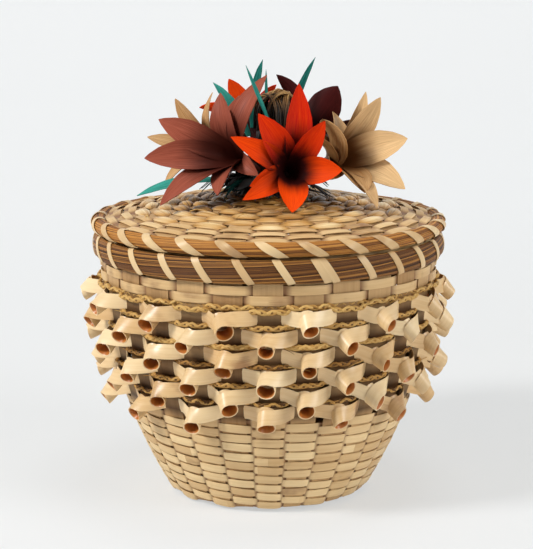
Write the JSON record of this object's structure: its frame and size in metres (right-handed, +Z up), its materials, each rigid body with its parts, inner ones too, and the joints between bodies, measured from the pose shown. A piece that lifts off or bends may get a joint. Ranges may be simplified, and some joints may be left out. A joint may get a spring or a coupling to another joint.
{
  "type": "lidded splint basket",
  "caption": "Round plaited wood-splint basket with rows of twisted curls, sweetgrass rims lashed with splint, and a lift-off lid topped by splint flowers",
  "frame": {"origin": "on the floor under the middle of the base", "axes": "+Z up along the basket's axis, -Y towards the viewer and the front orange flower, +X right"},
  "size_m": [0.2324, 0.23, 0.2657],
  "materials": {
    "splint": "satin ash splint, cream tan",
    "pale_splint": "shaved ash splint, pale with a silky sheen",
    "sweetgrass": "braided and bundled grass, golden brown",
    "dark_grass": "bundled grass, dark brown",
    "orange_splint": "dyed splint, orange",
    "brown_splint": "dyed splint, mauve brown",
    "tan_splint": "undyed splint, tan",
    "burgundy_splint": "dyed splint, dark red",
    "teal_splint": "dyed splint, teal"
  },
  "bodies": {
    "basket": {"standard_01": "splint", "standard_02": "splint", "standard_03": "splint", "standard_04": "splint", "standard_05": "splint", "standard_06": "splint", "standard_07": "splint", "standard_08": "splint", "standard_09": "splint", "standard_10": "splint", "standard_11": "splint", "standard_12": "splint", "standard_13": "splint", "standard_14": "splint", "base_weaver": "splint", "lower_weaver_a": "splint", "lower_weaver_b": "splint", "curl_strip_1": "pale_splint", "curl_strip_2": "pale_splint", "curl_strip_3": "pale_splint", "curl_strip_4": "pale_splint", "curl_strip_5": "pale_splint", "curl_strip_6": "pale_splint", "sweetgrass_braid_1": "sweetgrass", "sweetgrass_braid_2": "sweetgrass", "sweetgrass_braid_3": "sweetgrass", "sweetgrass_braid_4": "sweetgrass", "sweetgrass_braid_5": "sweetgrass", "sweetgrass_braid_6": "sweetgrass", "top_weaver_1": "splint", "top_weaver_2": "splint", "rim_grass_bundle": "dark_grass", "rim_inner_hoop": "splint", "rim_lashing": "pale_splint"},
    "lid": {"lid_spokes": "splint", "lid_weaver_1": "splint", "lid_weaver_2": "splint", "lid_weaver_3": "splint", "lid_grass_weaver_a": "sweetgrass", "lid_grass_weaver_b": "sweetgrass", "lid_grass_bundle": "sweetgrass", "lid_inner_hoop": "splint", "lid_lashing": "pale_splint", "grass_seat_ring": "sweetgrass", "sweetgrass_knot": "dark_grass", "flower_orange_front": "orange_splint", "flower_brown_left": "brown_splint", "flower_tan_left": "tan_splint", "flower_tan_right": "tan_splint", "flower_burgundy_back": "burgundy_splint", "flower_orange_back": "orange_splint", "leaf_1": "teal_splint", "leaf_2": "teal_splint", "leaf_3": "teal_splint", "leaf_4": "teal_splint", "leaf_5": "teal_splint", "leaf_6": "teal_splint"}
  },
  "joints": [
    {"name": "lid_lift", "type": "slide", "parent": "basket", "child": "lid", "axis": [0, 0, 1], "range_m": [0, 0.08]}
  ]
}
